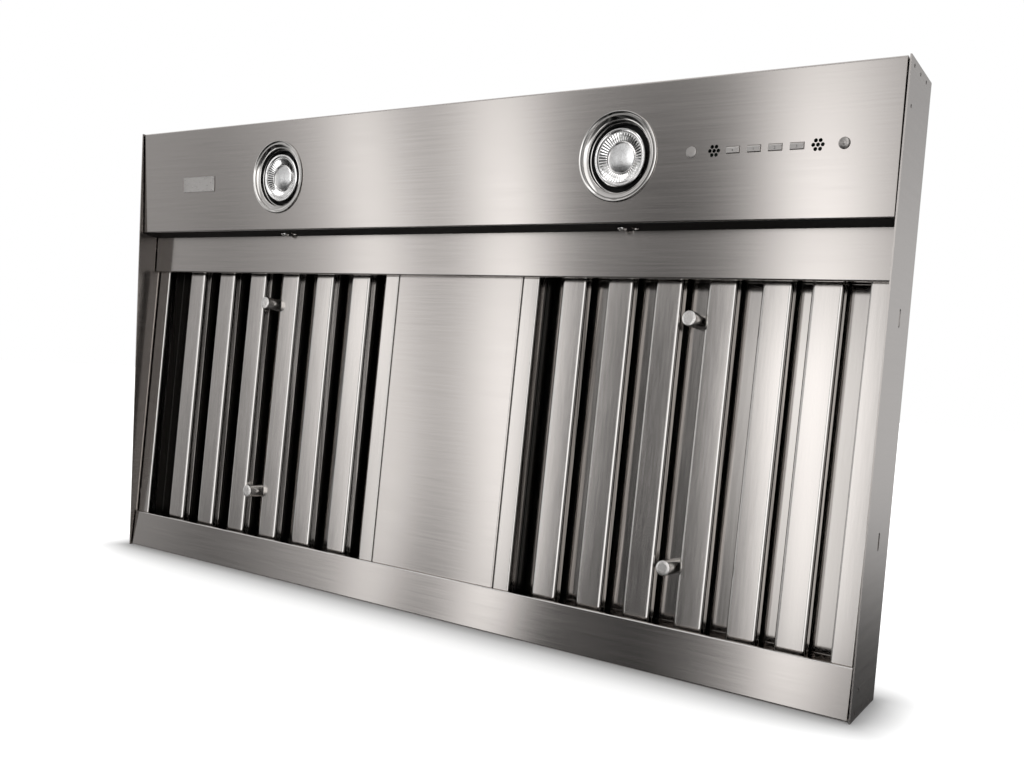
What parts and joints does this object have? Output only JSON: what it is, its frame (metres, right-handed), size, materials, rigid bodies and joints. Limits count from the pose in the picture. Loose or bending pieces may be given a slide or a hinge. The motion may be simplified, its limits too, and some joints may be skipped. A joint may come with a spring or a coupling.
{
  "type": "range hood insert",
  "caption": "Stainless range hood insert: shallow tray with interlocking baffle filters, recessed lamps and push buttons, blower box and round duct collar with a backdraft damper.",
  "frame": {"origin": "on the surface that the rear wall stands on, under the middle of the part's box", "axes": "+X along the insert's width, to the controls' side; +Y from the open underside into the tray, towards the duct collar; +Z from the rear edge to the front edge"},
  "size_m": [0.873, 0.302, 0.482],
  "materials": {
    "brushed_stainless": "fine brushed grain along each sheet's length",
    "bright_stainless": "bright annealed, near mirror with faint streaks",
    "galvanised_steel": "dull zinc",
    "chrome_trim": "polished",
    "lamp_glass": "pressed reflector lens",
    "ceramic": "unglazed ceramic",
    "knob_metal": "turned",
    "black_plastic": "moulded",
    "circuit_board": "solder mask",
    "motor_enamel": "satin enamel"
  },
  "bodies": {
    "insert": {"blower_housing": "galvanised_steel", "centre_panel": "brushed_stainless", "compartment_divider": "galvanised_steel", "control_board": "circuit_board", "control_housing": "black_plastic", "control_panel": "brushed_stainless", "control_screw_left": "bright_stainless", "control_screw_right": "bright_stainless", "damper_rod": "bright_stainless", "duct_collar": "galvanised_steel", "filter_header": "brushed_stainless", "filter_ledge": "galvanised_steel", "header_screw_left": "bright_stainless", "header_screw_right": "bright_stainless", "junction_box": "galvanised_steel", "junction_cover": "galvanised_steel", "lamp_driver": "black_plastic", "lamp_holder_left": "ceramic", "lamp_holder_right": "ceramic", "lamp_left": "lamp_glass", "lamp_right": "lamp_glass", "lamp_trim_left": "chrome_trim", "lamp_trim_right": "chrome_trim", "motor": "motor_enamel", "motor_bracket": "galvanised_steel", "rear_rail": "brushed_stainless", "run_capacitor": "knob_metal", "scroll_housing": "galvanised_steel", "scroll_mouth_plate": "galvanised_steel", "side_panel_left": "brushed_stainless", "side_panel_right": "brushed_stainless", "top_deck": "brushed_stainless"},
    "filter_left": {"filter_frame_left": "bright_stainless", "front_baffle_left_1": "bright_stainless", "front_baffle_left_2": "bright_stainless", "front_baffle_left_3": "bright_stainless", "front_baffle_left_4": "bright_stainless", "front_baffle_left_5": "bright_stainless", "front_baffle_left_6": "bright_stainless", "rear_baffles_left": "bright_stainless", "filter_knob_left_upper": "knob_metal", "filter_knob_left_lower": "knob_metal"},
    "filter_right": {"filter_frame_right": "bright_stainless", "front_baffle_right_1": "bright_stainless", "front_baffle_right_2": "bright_stainless", "front_baffle_right_3": "bright_stainless", "front_baffle_right_4": "bright_stainless", "front_baffle_right_5": "bright_stainless", "front_baffle_right_6": "bright_stainless", "rear_baffles_right": "bright_stainless", "filter_knob_right_upper": "knob_metal", "filter_knob_right_lower": "knob_metal"},
    "light_button": {"light_button": "bright_stainless"},
    "speed_button_1": {"speed_button_1": "bright_stainless"},
    "speed_button_2": {"speed_button_2": "bright_stainless"},
    "speed_button_3": {"speed_button_3": "bright_stainless"},
    "impeller": {"impeller": "galvanised_steel", "motor_shaft": "bright_stainless"},
    "damper_left": {"damper_flap_left": "galvanised_steel"},
    "damper_right": {"damper_flap_right": "galvanised_steel"}
  },
  "joints": [
    {"name": "filter_left_lift", "type": "slide", "parent": "insert", "child": "filter_left", "axis": [0, 0.0643, 0.9979], "range_m": [0, 0.0105]},
    {"name": "filter_right_lift", "type": "slide", "parent": "insert", "child": "filter_right", "axis": [0, 0.0643, 0.9979], "range_m": [0, 0.0105]},
    {"name": "light_button_press", "type": "slide", "parent": "insert", "child": "light_button", "axis": [0, 0.9996, 0.0267], "range_m": [0, 0.0012], "stiffness_N_per_m": 500},
    {"name": "speed_button_1_press", "type": "slide", "parent": "insert", "child": "speed_button_1", "axis": [0, 0.9996, 0.0267], "range_m": [0, 0.0012], "stiffness_N_per_m": 500},
    {"name": "speed_button_2_press", "type": "slide", "parent": "insert", "child": "speed_button_2", "axis": [0, 0.9996, 0.0267], "range_m": [0, 0.0012], "stiffness_N_per_m": 500},
    {"name": "speed_button_3_press", "type": "slide", "parent": "insert", "child": "speed_button_3", "axis": [0, 0.9996, 0.0267], "range_m": [0, 0.0012], "stiffness_N_per_m": 500},
    {"name": "impeller_spin", "type": "hinge", "parent": "insert", "child": "impeller", "pos_m": [0, 0.017, 0.128], "axis": [1, 0, 0], "continuous": true},
    {"name": "damper_left_swing", "type": "hinge", "parent": "insert", "child": "damper_left", "pos_m": [0, 0.13, 0.188], "axis": [0, 0, -1], "range_deg": [0, 75], "stiffness_Nm_per_rad": 0.02},
    {"name": "damper_right_swing", "type": "hinge", "parent": "insert", "child": "damper_right", "pos_m": [0, 0.13, 0.188], "axis": [0, 0, 1], "range_deg": [0, 75], "stiffness_Nm_per_rad": 0.02}
  ]
}
